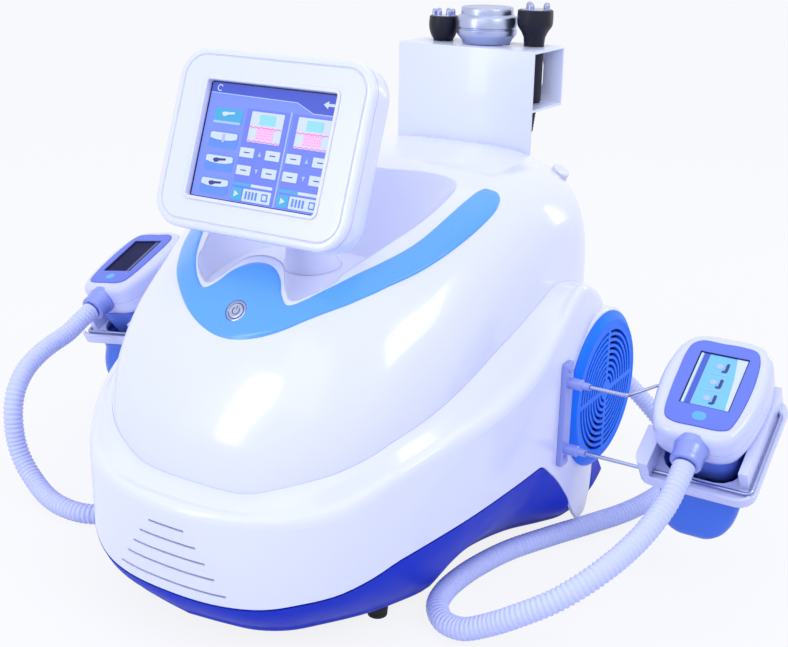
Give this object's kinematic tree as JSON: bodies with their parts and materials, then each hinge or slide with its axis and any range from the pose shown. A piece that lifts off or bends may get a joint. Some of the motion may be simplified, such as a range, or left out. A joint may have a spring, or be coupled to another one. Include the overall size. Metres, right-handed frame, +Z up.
{
  "type": "cryolipolysis machine",
  "caption": "Desktop cooling treatment machine with a tilting touch screen, side cradles holding hosed applicators, a rear rack of handheld applicators, fan grilles and rubber feet.",
  "frame": {"origin": "centre of the bottom of the machine, on the surface it stands on", "axes": "+X to the right seen from the front, -Y to the front, +Z up"},
  "size_m": [0.948, 0.7335, 0.6005],
  "materials": {
    "white_plastic": "smooth gloss, moulded",
    "blue_plastic": "smooth gloss",
    "deep_blue_plastic": "smooth gloss",
    "grille_blue": "satin",
    "panel_blue": "satin printed film",
    "cup_blue": "smooth satin",
    "bright_steel": "polished",
    "aluminium": "turned, satin",
    "black_plastic": "fine texture",
    "rubber": "matt moulded",
    "display_glass": "lit display behind a clear cover",
    "white_metal": "white gloss paint",
    "hose_plastic": "satin ribbed",
    "tank_plastic": "frosted",
    "steel_box": "plain sheet"
  },
  "bodies": {
    "machine": {"lower_shell": "white_plastic", "upper_shell": "white_plastic", "trim_band": "blue_plastic", "button_bezel": "bright_steel", "base_tray": "deep_blue_plastic", "foot_front_right": "rubber", "foot_front_left": "rubber", "foot_rear_right": "rubber", "foot_rear_left": "rubber", "screen_pedestal": "white_plastic", "hinge_pin": "bright_steel", "rear_panel": "white_plastic", "mains_inlet": "black_plastic", "socket_strip": "aluminium", "applicator_rack": "white_metal", "coolant_tank": "tank_plastic", "power_supply": "steel_box", "vacuum_pump": "black_plastic", "hose_right": "hose_plastic", "hose_left": "hose_plastic", "fan_grille_right": "grille_blue", "fan_grille_left": "grille_blue", "fan_frame_right": "black_plastic", "fan_frame_left": "black_plastic", "mount_bracket_right": "bright_steel", "mount_bracket_left": "bright_steel", "wire_frame_right": "bright_steel", "wire_frame_left": "bright_steel", "cradle_tray_right": "white_plastic", "cradle_tray_left": "white_plastic", "cradle_bowl_right": "cup_blue", "cradle_bowl_left": "cup_blue", "hose_gland_right": "black_plastic", "hose_gland_left": "black_plastic"},
    "button": {"power_button": "aluminium"},
    "screen": {"screen_back": "white_plastic", "screen_bezel": "white_plastic", "display_glass": "display_glass"},
    "rocker": {"rocker_switch": "black_plastic"},
    "cap": {"fill_cap": "white_plastic"},
    "rotor_right": {"fan_rotor_right": "black_plastic"},
    "rotor_left": {"fan_rotor_left": "black_plastic"},
    "applicator_right": {"applicator_shell_right": "white_plastic", "applicator_panel_right": "panel_blue", "applicator_display_right": "display_glass", "applicator_cup_right": "cup_blue", "hose_connector_right": "aluminium"},
    "applicator_left": {"applicator_shell_left": "white_plastic", "applicator_panel_left": "panel_blue", "applicator_display_left": "display_glass", "applicator_cup_left": "cup_blue", "hose_connector_left": "aluminium"},
    "small_applicator": {"small_applicator_grip": "black_plastic", "small_applicator_electrodes": "bright_steel"},
    "large_applicator": {"large_applicator_grip": "black_plastic", "large_applicator_electrodes": "bright_steel"},
    "round_applicator": {"round_applicator_grip": "black_plastic", "round_applicator_head": "aluminium"}
  },
  "joints": [
    {"name": "button_press", "type": "slide", "parent": "machine", "child": "button", "axis": [0, 0.7431, -0.6691], "range_m": [0, 0.0014], "stiffness_N_per_m": 600, "springref_m": -0.001},
    {"name": "screen_tilt", "type": "hinge", "parent": "machine", "child": "screen", "pos_m": [0, -0.136, 0.417], "axis": [1, 0, 0], "range_deg": [-10, 15]},
    {"name": "rocker_tip", "type": "hinge", "parent": "machine", "child": "rocker", "pos_m": [-0.026, 0.2524, 0.062], "axis": [-1, 0, 0], "range_deg": [0, 10]},
    {"name": "cap_lift", "type": "slide", "parent": "machine", "child": "cap", "axis": [0.5736, 0, 0.8192], "range_m": [0, 0.06]},
    {"name": "fan_right_spin", "type": "hinge", "parent": "machine", "child": "rotor_right", "pos_m": [0.23, 0.154, 0.171], "axis": [1, 0, 0], "continuous": true},
    {"name": "fan_left_spin", "type": "hinge", "parent": "machine", "child": "rotor_left", "pos_m": [-0.23, 0.154, 0.171], "axis": [1, 0, 0], "continuous": true},
    {"name": "applicator_right_lift", "type": "slide", "parent": "machine", "child": "applicator_right", "axis": [0, -0.5373, 0.8434], "range_m": [0, 0.12]},
    {"name": "applicator_left_lift", "type": "slide", "parent": "machine", "child": "applicator_left", "axis": [-0.1874, -0.3775, 0.9069], "range_m": [0, 0.12]},
    {"name": "small_applicator_lift", "type": "slide", "parent": "machine", "child": "small_applicator", "axis": [0, 0, 1], "range_m": [0, 0.15]},
    {"name": "large_applicator_lift", "type": "slide", "parent": "machine", "child": "large_applicator", "axis": [0, 0, 1], "range_m": [0, 0.15]},
    {"name": "round_applicator_lift", "type": "slide", "parent": "machine", "child": "round_applicator", "axis": [0, 0, 1], "range_m": [0, 0.15]}
  ]
}
